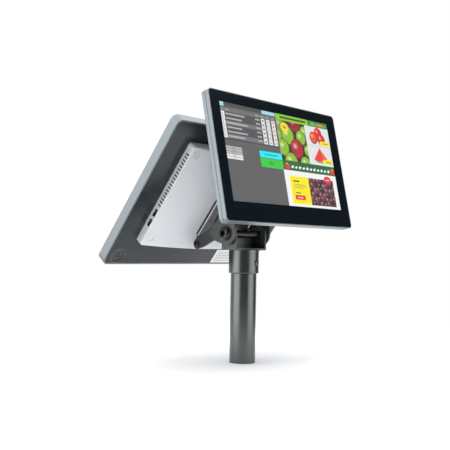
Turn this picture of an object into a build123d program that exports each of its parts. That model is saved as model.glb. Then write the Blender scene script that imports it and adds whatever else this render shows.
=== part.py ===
from build123d import *
import os
from math import cos, radians, sin

# A pole-top point-of-sale head: a 15 inch touch terminal on the operator's side and an 11.6 inch
# display on the customer's side, both tilting on one hinge that crosses a yoke on a round pole.
# Millimetres. Origin: centre of the pole's lower end. +Z up the pole, X along the hinge,
# -Y towards the customer, +Y towards the operator.

# ---------------------------------------------------------------- driving dimensions
POLE_OD = 40.0
POLE_WALL = 2.0
COLLAR_OD = 46.5
COLLAR_HEIGHT = 36.0
YOKE_Z = 173.0
HINGE_ABOVE_YOKE = 24.6
HINGE_Z = YOKE_Z + HINGE_ABOVE_YOKE

SHEET = 3.0
ARM_SHEET = 2.5
WASHER_GAP = 0.5
FACE_GAP = 0.05
YOKE_HALF_WIDTH = 35.5
YOKE_HALF_DEPTH = 14.5
YOKE_CABLE_R = 11.0
YOKE_WEB_HEIGHT = 18.5
HINGE_BOLT_R = 6.0
RUNNING = 0.05

MAIN_TILT = 38.8
MAIN_Y = 51.9
MAIN_Z = YOKE_Z + 76.1
MAIN_W = 344.0
MAIN_H = 260.0
MAIN_BAND = 15.0
BAND_WALL = 2.5

HOUSING_HALF_W = 131.0
HOUSING_BOTTOM = -82.0
HOUSING_TOP = 98.0
HOUSING_SIDE = 12.5
HOUSING_CROWN = 20.0
HOUSING_WALL = 2.2
VENT_COUNT = 18
VENT_PITCH = 5.36
USB_V = (-24.2, -42.4)

CUSTOMER_TILT = 12.35
CUSTOMER_Y = -77.7
CUSTOMER_Z = YOKE_Z + 136.5
CUSTOMER_LCD_W = 256.1
CUSTOMER_LCD_H = 144.0
CUSTOMER_SIDE = 19.4
CUSTOMER_TOP = 15.5
CUSTOMER_BOTTOM = 28.8
CUSTOMER_BAND = 13.2

# ---------------------------------------------------------------- frames and helpers
# main(u, v, d): u along X, v up the terminal, d out of its back cover, away from its screen.
main = Plane(
    origin=(0, MAIN_Y, MAIN_Z),
    x_dir=(1, 0, 0),
    z_dir=(0, -cos(radians(MAIN_TILT)), -sin(radians(MAIN_TILT))),
)
# customer(u, v, w): u along X, v up the display, w out of its glass, 0 on the glass.
customer = Plane(
    origin=(0, CUSTOMER_Y, CUSTOMER_Z),
    x_dir=(1, 0, 0),
    z_dir=(0, -cos(radians(CUSTOMER_TILT)), sin(radians(CUSTOMER_TILT))),
)
PARTS = {}


def slab(width, height, low, high, u=0.0, v=0.0, radius=0.0):
    """A plate of the given outline between two levels along its plane's normal."""
    outline = RectangleRounded(width, height, radius) if radius else Rectangle(width, height)
    return Pos(u, v, low) * extrude(outline, high - low)


def disc(radius, low, high, u=0.0, v=0.0):
    return Pos(u, v, low) * extrude(Circle(radius), high - low)


def frame(width, height, wall, low, high, radius, v=0.0):
    """A rounded ring: a plate with its middle cut out to an even wall."""
    inner = slab(width - 2 * wall, height - 2 * wall, low - 1, high + 1, 0, v, max(radius - wall, 0.5))
    return slab(width, height, low, high, 0, v, radius) - inner


def side_plate(outline, x_low, x_high):
    """Extrudes an outline drawn in (Y, Z - HINGE_Z) between two places along X."""
    plane = Plane(origin=(x_low, 0, HINGE_Z), x_dir=(0, 1, 0), z_dir=(1, 0, 0))
    return plane * extrude(outline, x_high - x_low)


def hull_of(circles, points):
    """The outline that a string would take round some circles (y, z, r) and points (y, z)."""
    edges = [edge for y, z, r in circles for edge in (Pos(y, z) * Circle(r)).edges()]
    edges += Polyline(*points, close=True).edges()
    return make_hull(edges)


def hinge_rod(radius, x_low, x_high, y=0.0, z=HINGE_Z):
    return Pos(x_low, y, z) * Rot(0, 90, 0) * extrude(Circle(radius), x_high - x_low)


def hex_rod(across_flats, x_low, x_high, y=0.0, z=HINGE_Z):
    outline = RegularPolygon(across_flats / 2, 6, major_radius=False)
    return Pos(x_low, y, z) * Rot(0, 90, 0) * extrude(outline, x_high - x_low)


def button_head(radius, height, across_flats, depth):
    """A domed screw head standing on Z = 0, with a hexagon socket."""
    head = extrude(Circle(radius), height)
    head = fillet(head.edges().group_by(Axis.Z)[-1], height * 0.8)
    socket = Pos(0, 0, height - depth) * extrude(
        RegularPolygon(across_flats / 2, 6, major_radius=False), depth + 1
    )
    return head - socket


def screw(head_r, head_h, shank_r, length, across_flats):
    """A button-head screw: head above Z = 0, shank below."""
    shank = Pos(0, 0, -length) * extrude(Circle(shank_r), length)
    return button_head(head_r, head_h, across_flats, head_h * 0.6) + shank


def turned(polar_deg, radius, z):
    """A place on a vertical cylinder whose local Z points outwards."""
    return Rot(0, 0, polar_deg) * Pos(radius, 0, z) * Rot(0, 90, 0)


def on_main(solid):
    return main * solid


def on_customer(solid):
    return customer * solid


# ---------------------------------------------------------------- pole and collar
POLE_NECK_R = 19.7
POLE_NECK_TOP = YOKE_Z - 4.0
COLLAR_Z = YOKE_Z - COLLAR_HEIGHT
COLLAR_GAP = 0.2
COLLAR_BORE_R = POLE_NECK_R + RUNNING
SCREW_ANGLES = (-80.0, 100.0)
SCREW_Z = YOKE_Z - 19.6
SCREW_HEAD_R = 4.3
SCREW_HEAD_H = 3.3
SCREW_RECESS_R = 5.4
SCREW_SHANK_R = 3.0
SCREW_HOLE_R = 3.05
SCREW_SEAT_R = 21.9


def pole_tube():
    # Steel tube: a full-size stretch below the collar, and a neck turned down to run inside it.
    tube = extrude(Circle(POLE_OD / 2), COLLAR_Z - COLLAR_GAP) + extrude(Circle(POLE_NECK_R), POLE_NECK_TOP)
    bore = Pos(0, 0, -1) * extrude(Circle(POLE_OD / 2 - POLE_WALL), YOKE_Z + 1)
    return tube - bore


def collar():
    sleeve = Pos(0, 0, COLLAR_Z) * extrude(Circle(COLLAR_OD / 2), COLLAR_HEIGHT)
    sleeve = fillet(sleeve.edges().group_by(Axis.Z)[0], 1.5)
    sleeve -= Pos(0, 0, COLLAR_Z - 1) * extrude(Circle(COLLAR_BORE_R), COLLAR_HEIGHT + 2)
    for angle in SCREW_ANGLES:
        sleeve -= turned(angle, SCREW_SEAT_R, SCREW_Z) * extrude(Circle(SCREW_RECESS_R), 5)
        sleeve -= turned(angle, 15, SCREW_Z) * extrude(Circle(SCREW_HOLE_R), 10)
    return sleeve


def clamp_screws():
    # Two M6 socket screws that lock the collar to the pole's neck.
    shank = SCREW_SEAT_R - POLE_NECK_R - 0.3
    single = screw(SCREW_HEAD_R, SCREW_HEAD_H, SCREW_SHANK_R, shank, 4.0)
    return [turned(angle, SCREW_SEAT_R, SCREW_Z) * single for angle in SCREW_ANGLES]


PARTS["pole_tube"] = [pole_tube()]
PARTS["collar"] = [collar()]
PARTS["clamp_screws"] = clamp_screws()


# ---------------------------------------------------------------- yoke and hinge
def yoke():
    # A folded and welded U of sheet with round ears, a floor with a cable hole, and a back web.
    ear = Circle(YOKE_HALF_DEPTH) + Pos(0, -HINGE_ABOVE_YOKE / 2) * Rectangle(
        2 * YOKE_HALF_DEPTH, HINGE_ABOVE_YOKE
    )
    ear -= Circle(HINGE_BOLT_R + RUNNING)
    body = side_plate(ear, -YOKE_HALF_WIDTH, -YOKE_HALF_WIDTH + SHEET)
    body += side_plate(ear, YOKE_HALF_WIDTH - SHEET, YOKE_HALF_WIDTH)
    body += Pos(0, 0, YOKE_Z + SHEET / 2) * Box(2 * YOKE_HALF_WIDTH, 2 * YOKE_HALF_DEPTH, SHEET)
    body += Pos(0, YOKE_HALF_DEPTH - SHEET / 2, YOKE_Z + YOKE_WEB_HEIGHT / 2) * Box(
        2 * YOKE_HALF_WIDTH - 2, SHEET, YOKE_WEB_HEIGHT
    )
    body -= Pos(0, -1, YOKE_Z - 1) * extrude(Circle(YOKE_CABLE_R), SHEET + 2)
    return body


ARM_X = YOKE_HALF_WIDTH + WASHER_GAP
GUSSET_X = ARM_X + ARM_SHEET + WASHER_GAP
HEAD_WASHER = 0.8
HEAD_X = GUSSET_X + SHEET + HEAD_WASHER + 2 * FACE_GAP
HEAD_R = 10.4
HEAD_H = 6.4
WASHER_R = 12.0
NUT_H = 7.0
NUT_FLATS = 18.0
BOLT_PAST_NUT = 2.0


def hinge_bolt():
    # M12 button-head bolt right through yoke, arms and gussets.
    head = Pos(-HEAD_X, 0, HINGE_Z) * Rot(0, -90, 0) * button_head(HEAD_R, HEAD_H, 8.0, 4.0)
    return head + hinge_rod(HINGE_BOLT_R, -HEAD_X, HEAD_X + NUT_H + BOLT_PAST_NUT)


def ring(outer_r, bore_r, x_low, x_high, y=0.0, z=HINGE_Z):
    return hinge_rod(outer_r, x_low, x_high, y, z) - hinge_rod(bore_r, x_low - 1, x_high + 1, y, z)


def friction_washers():
    pieces = []
    for side in (-1, 1):
        for low, thick in (
            (YOKE_HALF_WIDTH, WASHER_GAP),
            (ARM_X + ARM_SHEET, WASHER_GAP),
            (GUSSET_X + SHEET, HEAD_WASHER + 2 * FACE_GAP),
        ):
            ends = sorted((side * (low + FACE_GAP), side * (low + thick - FACE_GAP)))
            pieces.append(ring(WASHER_R, HINGE_BOLT_R, *ends))
    return pieces


def hinge_nut():
    body = hex_rod(NUT_FLATS, HEAD_X, HEAD_X + NUT_H)
    return body - hinge_rod(HINGE_BOLT_R, HEAD_X - 1, HEAD_X + NUT_H + 1)


PARTS["yoke"] = [yoke()]
PARTS["hinge_bolt"] = [hinge_bolt()]
PARTS["friction_washers"] = friction_washers()
PARTS["hinge_nut"] = [hinge_nut()]

# ---------------------------------------------------------------- terminal arms
# Places in (Y, Z - HINGE_Z). The arms hang from the hinge and carry the terminal on two small bolts.
PIVOT_Y = 64.6
PIVOT_Z = -16.1
ARM_EYE_R = 14.0
PIVOT_R = 8.0
PIVOT_BOLT_R = 3.0
CROSS_BAR_Y = 37.0
CROSS_BAR_Z = -5.5
CROSS_BAR_R = 3.5


def arm_outline():
    bar = hull_of([(PIVOT_Y, PIVOT_Z, PIVOT_R)], [(61.9, -4.2), (32.0, 10.0), (28.7, -10.7), (50.4, -20.8)])
    root = hull_of([(0, 0, ARM_EYE_R)], [(32.0, 10.0), (28.7, -10.7), (34.0, 0.0)])
    return bar + root


def arm(side):
    ends = sorted((side * ARM_X, side * (ARM_X + ARM_SHEET)))
    outline = arm_outline() - Circle(HINGE_BOLT_R + RUNNING)
    outline -= Pos(PIVOT_Y, PIVOT_Z) * Circle(PIVOT_BOLT_R)
    return side_plate(outline, *ends)


def cross_bar():
    return hinge_rod(CROSS_BAR_R, -ARM_X, ARM_X, CROSS_BAR_Y, HINGE_Z + CROSS_BAR_Z)


PIVOT_BOLT_IN = 28.0
FLANGE_X = YOKE_HALF_WIDTH
FLANGE = 2.5


def pivot_bolts():
    # M6 button-head bolts, heads outside the arms, ends inside the channel's flanges.
    bolts = []
    for side in (-1, 1):
        turn = Rot(0, 90 * side, 0)
        head_x = side * (ARM_X + ARM_SHEET)
        length = ARM_X + ARM_SHEET - PIVOT_BOLT_IN
        bolts.append(
            Pos(head_x, PIVOT_Y, HINGE_Z + PIVOT_Z) * turn * screw(5.25, 3.3, PIVOT_BOLT_R, length, 4.0)
        )
    return bolts


def pivot_nuts():
    pieces = []
    for side in (-1, 1):
        near = FLANGE_X - FLANGE - 0.3
        ends = sorted((side * (near - 4.0), side * near))
        body = hex_rod(10.0, *ends, PIVOT_Y, HINGE_Z + PIVOT_Z)
        pieces.append(body - hinge_rod(PIVOT_BOLT_R, ends[0] - 1, ends[1] + 1, PIVOT_Y, HINGE_Z + PIVOT_Z))
    return pieces


PARTS["arm_left"] = [arm(-1)]
PARTS["arm_right"] = [arm(1)]
PARTS["arm_cross_bar"] = [cross_bar()]
PARTS["pivot_bolts"] = pivot_bolts()
PARTS["pivot_nuts"] = pivot_nuts()

# ---------------------------------------------------------------- terminal channel
CHANNEL_SEAT = 20.8
CHANNEL_BOTTOM = -51.4
CHANNEL_TOP = 37.0
CHANNEL_SCREWS = [(u, v) for u in (-22.0, 22.0) for v in (-30.0, 25.0)]
MAIN_LEAN = radians(MAIN_TILT)
PIVOT_V = -(PIVOT_Y - MAIN_Y) * sin(MAIN_LEAN) + (HINGE_Z + PIVOT_Z - MAIN_Z) * cos(MAIN_LEAN)
PIVOT_D = -(PIVOT_Y - MAIN_Y) * cos(MAIN_LEAN) - (HINGE_Z + PIVOT_Z - MAIN_Z) * sin(MAIN_LEAN)
CHANNEL_HOLE_R = 2.1
CHANNEL_CABLE_R = 12.0
CHANNEL_BEND_R = 2.2
PAD_INSET = 2.2


def main_channel():
    # Folded channel: its web lies on the housing, and its flanges pivot inside the arms.
    flange = hull_of(
        [(PIVOT_V, PIVOT_D, 7.5)],
        [
            (CHANNEL_BOTTOM, CHANNEL_SEAT),
            (CHANNEL_TOP, CHANNEL_SEAT),
            (CHANNEL_TOP, 28.0),
            (14.0, 35.0),
            (-42.0, 37.0),
        ],
    )
    flange -= Pos(PIVOT_V, PIVOT_D) * Circle(PIVOT_BOLT_R + RUNNING)
    height = CHANNEL_TOP - CHANNEL_BOTTOM
    middle = (CHANNEL_TOP + CHANNEL_BOTTOM) / 2
    body = slab(2 * FLANGE_X, height, CHANNEL_SEAT, CHANNEL_SEAT + FLANGE, 0, middle)
    for low in (-FLANGE_X, FLANGE_X - FLANGE):
        plane = Plane(origin=(low, 0, 0), x_dir=(0, 1, 0), z_dir=(1, 0, 0))
        body += plane * extrude(flange, FLANGE)
    bends = [
        edge
        for edge in body.edges().filter_by(Axis.Y)
        if edge.length > height - 1 and edge.center().Z < CHANNEL_SEAT + 0.1
    ]
    body = fillet(bends, CHANNEL_BEND_R)
    for u, v in CHANNEL_SCREWS:
        body -= disc(CHANNEL_HOLE_R, CHANNEL_SEAT - 1, CHANNEL_SEAT + FLANGE + 1, u, v)
    body -= disc(CHANNEL_CABLE_R, CHANNEL_SEAT - 1, CHANNEL_SEAT + FLANGE + 1, 0, -2.5)
    return on_main(body)


def crown_at(u):
    """How far the housing's crowned face stands off the back cover, u off its middle."""
    rise = HOUSING_CROWN - HOUSING_SIDE
    radius = (HOUSING_HALF_W**2 + rise**2) / (2 * rise)
    return HOUSING_CROWN - radius + (radius**2 - u**2) ** 0.5


def channel_pad():
    # Rubber pad that follows the housing's crown under the channel.
    half = FLANGE_X - PAD_INSET
    low = crown_at(half)
    profile = Polyline((half, low), (half, CHANNEL_SEAT), (-half, CHANNEL_SEAT), (-half, low))
    crown = ThreePointArc((-half, low), (0, HOUSING_CROWN), (half, low))
    face = make_face(profile.edges() + crown.edges())
    plane = Plane(origin=(0, CHANNEL_TOP - PAD_INSET, 0), x_dir=(1, 0, 0), z_dir=(0, -1, 0))
    pad = plane * extrude(face, CHANNEL_TOP - CHANNEL_BOTTOM - 2 * PAD_INSET)
    for u, v in CHANNEL_SCREWS:
        pad -= disc(CHANNEL_HOLE_R, HOUSING_SIDE, CHANNEL_SEAT + 1, u, v)
    return on_main(pad)


def channel_screws():
    single = screw(3.8, 2.2, 2.0, 8.5, 2.5)
    return [on_main(Pos(u, v, CHANNEL_SEAT + FLANGE) * single) for u, v in CHANNEL_SCREWS]


PARTS["main_channel"] = [main_channel()]
PARTS["channel_pad"] = [channel_pad()]
PARTS["channel_screws"] = channel_screws()

# ---------------------------------------------------------------- terminal rear housing
HOUSING_V = (HOUSING_TOP + HOUSING_BOTTOM) / 2
HOUSING_CORNER_R = 4.0
HOUSING_RIM_R = 2.0
VENT_FIRST_V = -9.8
VENT_D = 7.7
VENT_DEPTH = 6.0
VENT_WIDTH = 2.3
VENT_LENGTH = 7.0
CAP_R = 5.4
CAP_GROOVE = 0.4
CAP_POCKET = 1.6
CAP_PLACES = [(u, v) for u in (-119.5, 119.5) for v in (-67.5, 86.0)]
BUTTON_V = -33.0
BUTTON_D = 6.0
BUTTON_R = 3.2
USB_D = 6.9
LAN_U = -28.0
HDMI_U = 2.0
INLET_U = 28.0
PORT_D = 9.0
PORT_INSET = 0.6


def crowned_block(half_w, top_v, bottom_v, side, crown, radius, low=0.0):
    """A block whose back is one gentle arc across its width, with rounded upright corners."""
    sides = Polyline((-half_w, side), (-half_w, low), (half_w, low), (half_w, side))
    back = ThreePointArc((half_w, side), (0, crown), (-half_w, side))
    face = make_face(sides.edges() + back.edges())
    plane = Plane(origin=(0, top_v, 0), x_dir=(1, 0, 0), z_dir=(0, -1, 0))
    block = plane * extrude(face, top_v - bottom_v)
    return fillet(block.edges().filter_by(Axis.Z), radius)


def port_cutouts():
    cuts = []
    for v in USB_V:
        cuts.append(Pos(-HOUSING_HALF_W, v, USB_D) * Box(8, 13.6, 6.2))
    for u, width, height in ((LAN_U, 16.4, 13.0), (HDMI_U, 15.6, 6.2)):
        cuts.append(Pos(u, HOUSING_BOTTOM, PORT_D) * Box(width, 8, height))
    cuts.append(Pos(INLET_U, HOUSING_BOTTOM, PORT_D) * Rot(90, 0, 0) * Cylinder(5.2, 8))
    cuts.append(Pos(HOUSING_HALF_W, BUTTON_V, BUTTON_D) * Rot(0, 90, 0) * Cylinder(BUTTON_R + 0.3, 8))
    return cuts


def rear_housing():
    shell = crowned_block(
        HOUSING_HALF_W, HOUSING_TOP, HOUSING_BOTTOM, HOUSING_SIDE, HOUSING_CROWN, HOUSING_CORNER_R
    )
    back_rim = [edge for edge in shell.edges() if edge.center().Z > HOUSING_SIDE - 1.5]
    shell = fillet(back_rim, HOUSING_RIM_R)
    wall = HOUSING_WALL
    shell -= crowned_block(
        HOUSING_HALF_W - wall,
        HOUSING_TOP - wall,
        HOUSING_BOTTOM + wall,
        HOUSING_SIDE - wall,
        HOUSING_CROWN - wall,
        HOUSING_CORNER_R - wall,
        low=-1.0,
    )
    for side in (-1, 1):
        for index in range(VENT_COUNT):
            v = VENT_FIRST_V + index * VENT_PITCH
            shell -= Pos(side * HOUSING_HALF_W, v, VENT_D) * Box(VENT_DEPTH, VENT_WIDTH, VENT_LENGTH)
    for cut in port_cutouts():
        shell -= cut
    for u, v in CHANNEL_SCREWS:
        shell -= disc(2.0, 15, 25, u, v)
    for u, v in CAP_PLACES:
        shell -= disc(CAP_R + CAP_GROOVE, crown_at(u) - CAP_POCKET, crown_at(u) + 3, u, v)
    return on_main(shell)


def screw_caps():
    return [on_main(disc(CAP_R, crown_at(u) - CAP_POCKET, crown_at(u) - 0.3, u, v)) for u, v in CAP_PLACES]


PARTS["rear_housing"] = [rear_housing()]
PARTS["screw_caps"] = screw_caps()

# ---------------------------------------------------------------- terminal head
GLASS_GAP = 0.2
GLASS_W = MAIN_W - 2 * BAND_WALL - 2 * GLASS_GAP
GLASS_H = MAIN_H - 2 * BAND_WALL - 2 * GLASS_GAP
GLASS_SHEET = 2.2
GLASS_R = 7.3
PLUG_PLACES = [(u, -113.0) for u in (-149.4, 149.4)]
PLUG_R = 12.2
PLUG_POCKET = 1.4
COVER_SHEET = 2.5
OPENING_W = 244.0
OPENING_H = 162.0


def back_cover():
    plate = slab(GLASS_W, GLASS_H, -COVER_SHEET, 0, radius=GLASS_R)
    plate -= slab(OPENING_W, OPENING_H, -4, 1, 0, HOUSING_V, 8.0)
    for u, v in PLUG_PLACES:
        plate -= disc(PLUG_R + 0.3, -PLUG_POCKET, 1, u, v)
    return on_main(plate)


def corner_plugs():
    plugs = []
    for u, v in PLUG_PLACES:
        plug = disc(PLUG_R, -PLUG_POCKET, -0.4, u, v) + disc(4.2, -0.4, -0.1, u, v)
        plugs.append(on_main(plug - disc(2.6, -0.7, 0.5, u, v)))
    return plugs


def bezel_band():
    return on_main(frame(MAIN_W, MAIN_H, BAND_WALL, -MAIN_BAND, 0, 10.0))


def chassis_plate():
    plate = slab(300, 226, -4.6, -3.4, radius=4)
    for u in (-88, 88):
        for v in (-54, 70):
            plate += disc(3.0, -3.6, 2.0, u, v)
    return on_main(plate)


def main_board():
    board = slab(190, 140, 2.0, 3.6, 0, HOUSING_V, 2) + slab(32, 32, 3.4, 4.6, 25, 20)
    return on_main(board)


def heat_sink():
    base = slab(80, 64, 4.6, 7.0, 25, 20)
    for index in range(11):
        base += slab(2.0, 64, 6.8, 14.5, 25 - 39 + index * 7.8, 20)
    return on_main(base)


USB_SHELL_U = -HOUSING_HALF_W + 7.6
USB_LENGTH = 14.0
PORT_WALL = 1.0
HDMI_DEPTH = 11.0


def side_ports():
    # The folded steel shells of two USB type A sockets.
    shell = Box(USB_LENGTH, 13.1, 5.7) - Pos(-PORT_WALL, 0, 0) * Box(USB_LENGTH, 12.5, 5.1)
    return [on_main(Pos(USB_SHELL_U, v, USB_D) * shell) for v in USB_V]


def port_tongues():
    # The plastic tongues that carry the contacts of the USB and video sockets.
    back = USB_SHELL_U + USB_LENGTH / 2 - PORT_WALL
    tongues = [on_main(Pos(back - 5, v, USB_D + 1.0) * Box(10, 11.1, 1.8)) for v in USB_V]
    video_back = HOUSING_BOTTOM + PORT_INSET + HDMI_DEPTH - PORT_WALL
    tongues.append(on_main(Pos(HDMI_U, video_back - 4, PORT_D) * Box(10, 8, 1.2)))
    return tongues


def usb_board():
    return on_main(Pos(-HOUSING_HALF_W + 12, -33.3, 3.0) * Box(15, 34, 1.6))


def bottom_ports():
    # Network, video and power sockets in the housing's lower wall.
    wall_v = HOUSING_BOTTOM + PORT_INSET
    lan = Pos(LAN_U, wall_v + 9, PORT_D) * (Box(16, 18, 12.6) - Pos(0, -3, 0.6) * Box(11.8, 14, 8.4))
    video = Box(15, HDMI_DEPTH, 5.6) - Pos(0, -PORT_WALL, 0) * Box(14, HDMI_DEPTH, 4.6)
    barrel = Cylinder(5.0, 12) - Pos(0, 0, 2) * Cylinder(3.0, 12) + Pos(0, 0, -0.5) * Cylinder(1.0, 10)
    return [
        on_main(lan),
        on_main(Pos(HDMI_U, wall_v + HDMI_DEPTH / 2, PORT_D) * video),
        on_main(Pos(INLET_U, wall_v + 6, PORT_D) * Rot(90, 0, 0) * barrel),
    ]


def speakers():
    pieces = []
    for u in (-106, 106):
        box = slab(20, 24, 1.0, 8.0, u, -64, 4) + slab(15, 19, 7.8, 9.0, u, -64, 6)
        pieces.append(on_main(box))
    return pieces


PARTS["back_cover"] = [back_cover()]
PARTS["corner_plugs"] = corner_plugs()
PARTS["bezel_band"] = [bezel_band()]
PARTS["touch_glass"] = [
    on_main(slab(GLASS_W, GLASS_H, -MAIN_BAND, -MAIN_BAND + GLASS_SHEET, radius=GLASS_R))
]
PARTS["lcd_cell"] = [on_main(slab(326, 252, -12.6, -11.0))]
PARTS["backlight_unit"] = [on_main(slab(326, 252, -10.9, -4.9, radius=1))]
PARTS["chassis_plate"] = [chassis_plate()]
PARTS["main_board"] = [main_board()]
PARTS["heat_sink"] = [heat_sink()]
PARTS["memory_module"] = [on_main(slab(67.6, 30, 3.7, 7.4, -50, 62))]
PARTS["solid_state_drive"] = [on_main(slab(70, 60, 3.7, 10.7, -50, -10, 2))]
PARTS["touch_controller"] = [on_main(slab(22, 60, 2.0, 3.6, 110, 50, 1))]
PARTS["side_ports"] = side_ports()
PARTS["port_tongues"] = port_tongues()
PARTS["usb_board"] = [usb_board()]
PARTS["bottom_ports"] = bottom_ports()
PARTS["speakers"] = speakers()
PARTS["rating_label"] = [on_main(slab(72, 28, 0.0, 0.15, 96, -112.3, 1))]


# ---------------------------------------------------------------- power button
def power_button():
    cap_in = HOUSING_HALF_W - 4.4
    cap = Pos(cap_in, BUTTON_V, BUTTON_D) * Rot(0, 90, 0) * extrude(Circle(BUTTON_R), 5.2)
    cap = fillet(cap.edges().group_by(Axis.X)[-1], 0.6)
    flange = Pos(cap_in, BUTTON_V, BUTTON_D) * Rot(0, 90, 0) * extrude(Circle(BUTTON_R + 0.8), 1.2)
    return on_main(cap + flange)


def power_switch():
    body = Pos(HOUSING_HALF_W - 9.0, BUTTON_V, BUTTON_D) * Box(4, 7, 7)
    plunger = Pos(HOUSING_HALF_W - 6.4, BUTTON_V, BUTTON_D) * Rot(0, 90, 0) * Cylinder(1.6, 1.2)
    board = Pos(HOUSING_HALF_W - 11.8, BUTTON_V, BUTTON_D) * Box(1.6, 22, 7.6)
    return on_main(body + plunger + board)


PARTS["power_button"] = [power_button()]
PARTS["power_switch"] = [power_switch()]

# ---------------------------------------------------------------- customer bracket
# Places in (Y, Z - HINGE_Z).
GUSSET_EAR_R = 17.2
GUSSET_FRONT = [(-17.7, 3.0), (-18.2, 7.0), (-15.2, 20.0)]
GUSSET_HEEL = (35.2, 1.0)
GUSSET_TOE = (24.1, -10.7)
PLATE_BACK = -23.5
PLATE_SHEET = 2.5
PLATE_W = 116.0
PLATE_H = 92.0
CUSTOMER_W = CUSTOMER_LCD_W + 2 * CUSTOMER_SIDE
CUSTOMER_H = CUSTOMER_LCD_H + CUSTOMER_TOP + CUSTOMER_BOTTOM
CUSTOMER_V = (CUSTOMER_TOP - CUSTOMER_BOTTOM) / 2
CUSTOMER_LEAN = radians(CUSTOMER_TILT)
PLATE_SCREWS = [(u, CUSTOMER_V + v) for u in (-50.0, 50.0) for v in (-37.5, 37.5)]


def on_plate(v):
    """Where the display plate's back face stands, v up it, in (Y, Z - HINGE_Z)."""
    y = CUSTOMER_Y + v * sin(CUSTOMER_LEAN) - PLATE_BACK * cos(CUSTOMER_LEAN)
    z = CUSTOMER_Z - HINGE_Z + v * cos(CUSTOMER_LEAN) + PLATE_BACK * sin(CUSTOMER_LEAN)
    return (y, z)


PLATE_LOW = on_plate(CUSTOMER_V - PLATE_H / 2 + 1)
PLATE_HIGH = on_plate(-4.0)


def gusset(side):
    ends = sorted((side * GUSSET_X, side * (GUSSET_X + SHEET)))
    ear = hull_of([(0, 0, GUSSET_EAR_R)], [GUSSET_TOE, GUSSET_HEEL, (10.0, 10.0)])
    corners = [(-17.0, 0.0), *GUSSET_FRONT, PLATE_LOW, PLATE_HIGH, GUSSET_HEEL, (0.0, -5.0)]
    blade = make_face(Polyline(*corners, close=True).edges())
    outline = ear + blade - Circle(HINGE_BOLT_R + RUNNING)
    return side_plate(outline, *ends)


WEB_SHEET = 2.5


def bracket_web():
    # Cross plate along the gussets' back edges; its lower tongue is narrow enough to miss the arms.
    dy = PLATE_HIGH[0] - GUSSET_HEEL[0]
    dz = PLATE_HIGH[1] - GUSSET_HEEL[1]
    run = (dy**2 + dz**2) ** 0.5
    along = (0, dy / run, dz / run)
    heel = (0, GUSSET_HEEL[0], HINGE_Z + GUSSET_HEEL[1])
    plane = Plane(origin=heel, x_dir=(1, 0, 0), z_dir=(0, -along[2], along[1]))
    wide_low = 42.0
    wide_high = run - 8.0
    wide = Pos(0, (wide_low + wide_high) / 2) * Rectangle(2 * GUSSET_X, wide_high - wide_low)
    tongue = Pos(0, (6.0 + wide_low) / 2 + 1) * Rectangle(68, wide_low - 6.0 + 2)
    web = plane * extrude(wide + tongue - Pos(0, 80) * Circle(14), WEB_SHEET)
    return web


def display_plate():
    plate = slab(PLATE_W, PLATE_H, PLATE_BACK, PLATE_BACK + PLATE_SHEET, 0, CUSTOMER_V, 4)
    for u, v in PLATE_SCREWS:
        plate -= disc(2.2, PLATE_BACK - 1, PLATE_BACK + PLATE_SHEET + 1, u, v)
    return on_customer(plate)


def plate_screws():
    single = Rot(180, 0, 0) * screw(3.8, 2.2, 2.0, 7.5, 2.5)
    return [on_customer(Pos(u, v, PLATE_BACK) * single) for u, v in PLATE_SCREWS]


PARTS["gusset_left"] = [gusset(-1)]
PARTS["gusset_right"] = [gusset(1)]
PARTS["bracket_web"] = [bracket_web()]
PARTS["display_plate"] = [display_plate()]
PARTS["plate_screws"] = plate_screws()

# ---------------------------------------------------------------- customer display
CUSTOMER_RADIUS = 6.0
RIM = 1.2
SEAM_LOW = -7.2
SEAM_HIGH = -6.6
BULGE_BACK = PLATE_BACK + PLATE_SHEET
BULGE_W = 226.0
BULGE_H = 122.0
SHELL_WALL = 2.0
SOCKET_V = CUSTOMER_V - 52.0


def tapered(width, height, top_w, top_h, low, high, radius):
    """A block that narrows from one rounded rectangle at low to a smaller one at high."""
    big = Pos(0, CUSTOMER_V, low) * RectangleRounded(width, height, radius)
    small = Pos(0, CUSTOMER_V, high) * RectangleRounded(top_w, top_h, radius)
    return loft([big, small])


def customer_rear_shell():
    outer = slab(CUSTOMER_W, CUSTOMER_H, -CUSTOMER_BAND, SEAM_LOW, 0, CUSTOMER_V, CUSTOMER_RADIUS)
    outer += tapered(CUSTOMER_W, CUSTOMER_H, BULGE_W, BULGE_H, -CUSTOMER_BAND, BULGE_BACK, CUSTOMER_RADIUS)
    wall = SHELL_WALL
    inner = slab(
        CUSTOMER_W - 2 * wall, CUSTOMER_H - 2 * wall, -CUSTOMER_BAND, SEAM_LOW + 1, 0, CUSTOMER_V, 4.0
    )
    inner += tapered(
        CUSTOMER_W - 2 * wall,
        CUSTOMER_H - 2 * wall,
        BULGE_W - 2 * wall,
        BULGE_H - 2 * wall,
        -CUSTOMER_BAND,
        BULGE_BACK + wall,
        4.0,
    )
    shell = outer - inner
    for u, v in PLATE_SCREWS:
        shell -= disc(2.0, BULGE_BACK - 1, BULGE_BACK + 3, u, v)
    shell -= Pos(0, SOCKET_V, BULGE_BACK + 2) * Box(10.0, 4.0, 12.0)
    return on_customer(shell)


def customer_socket():
    # One small socket for the cable that links the display to the terminal.
    body = Pos(0, SOCKET_V, BULGE_BACK + 4.5) * (Box(9.4, 3.4, 8) - Pos(0, 0, -1) * Box(8.6, 2.6, 8))
    tongue = Pos(0, SOCKET_V, BULGE_BACK + 5.5) * Box(6.6, 0.7, 6)
    return on_customer(body + tongue)


def customer_bezel():
    return on_customer(
        frame(CUSTOMER_W, CUSTOMER_H, RIM, SEAM_HIGH, 0, CUSTOMER_RADIUS, CUSTOMER_V)
        + frame(CUSTOMER_W - 1.6, CUSTOMER_H - 1.6, 1.0, SEAM_LOW, SEAM_HIGH + 0.5, 5.2, CUSTOMER_V)
    )


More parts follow.
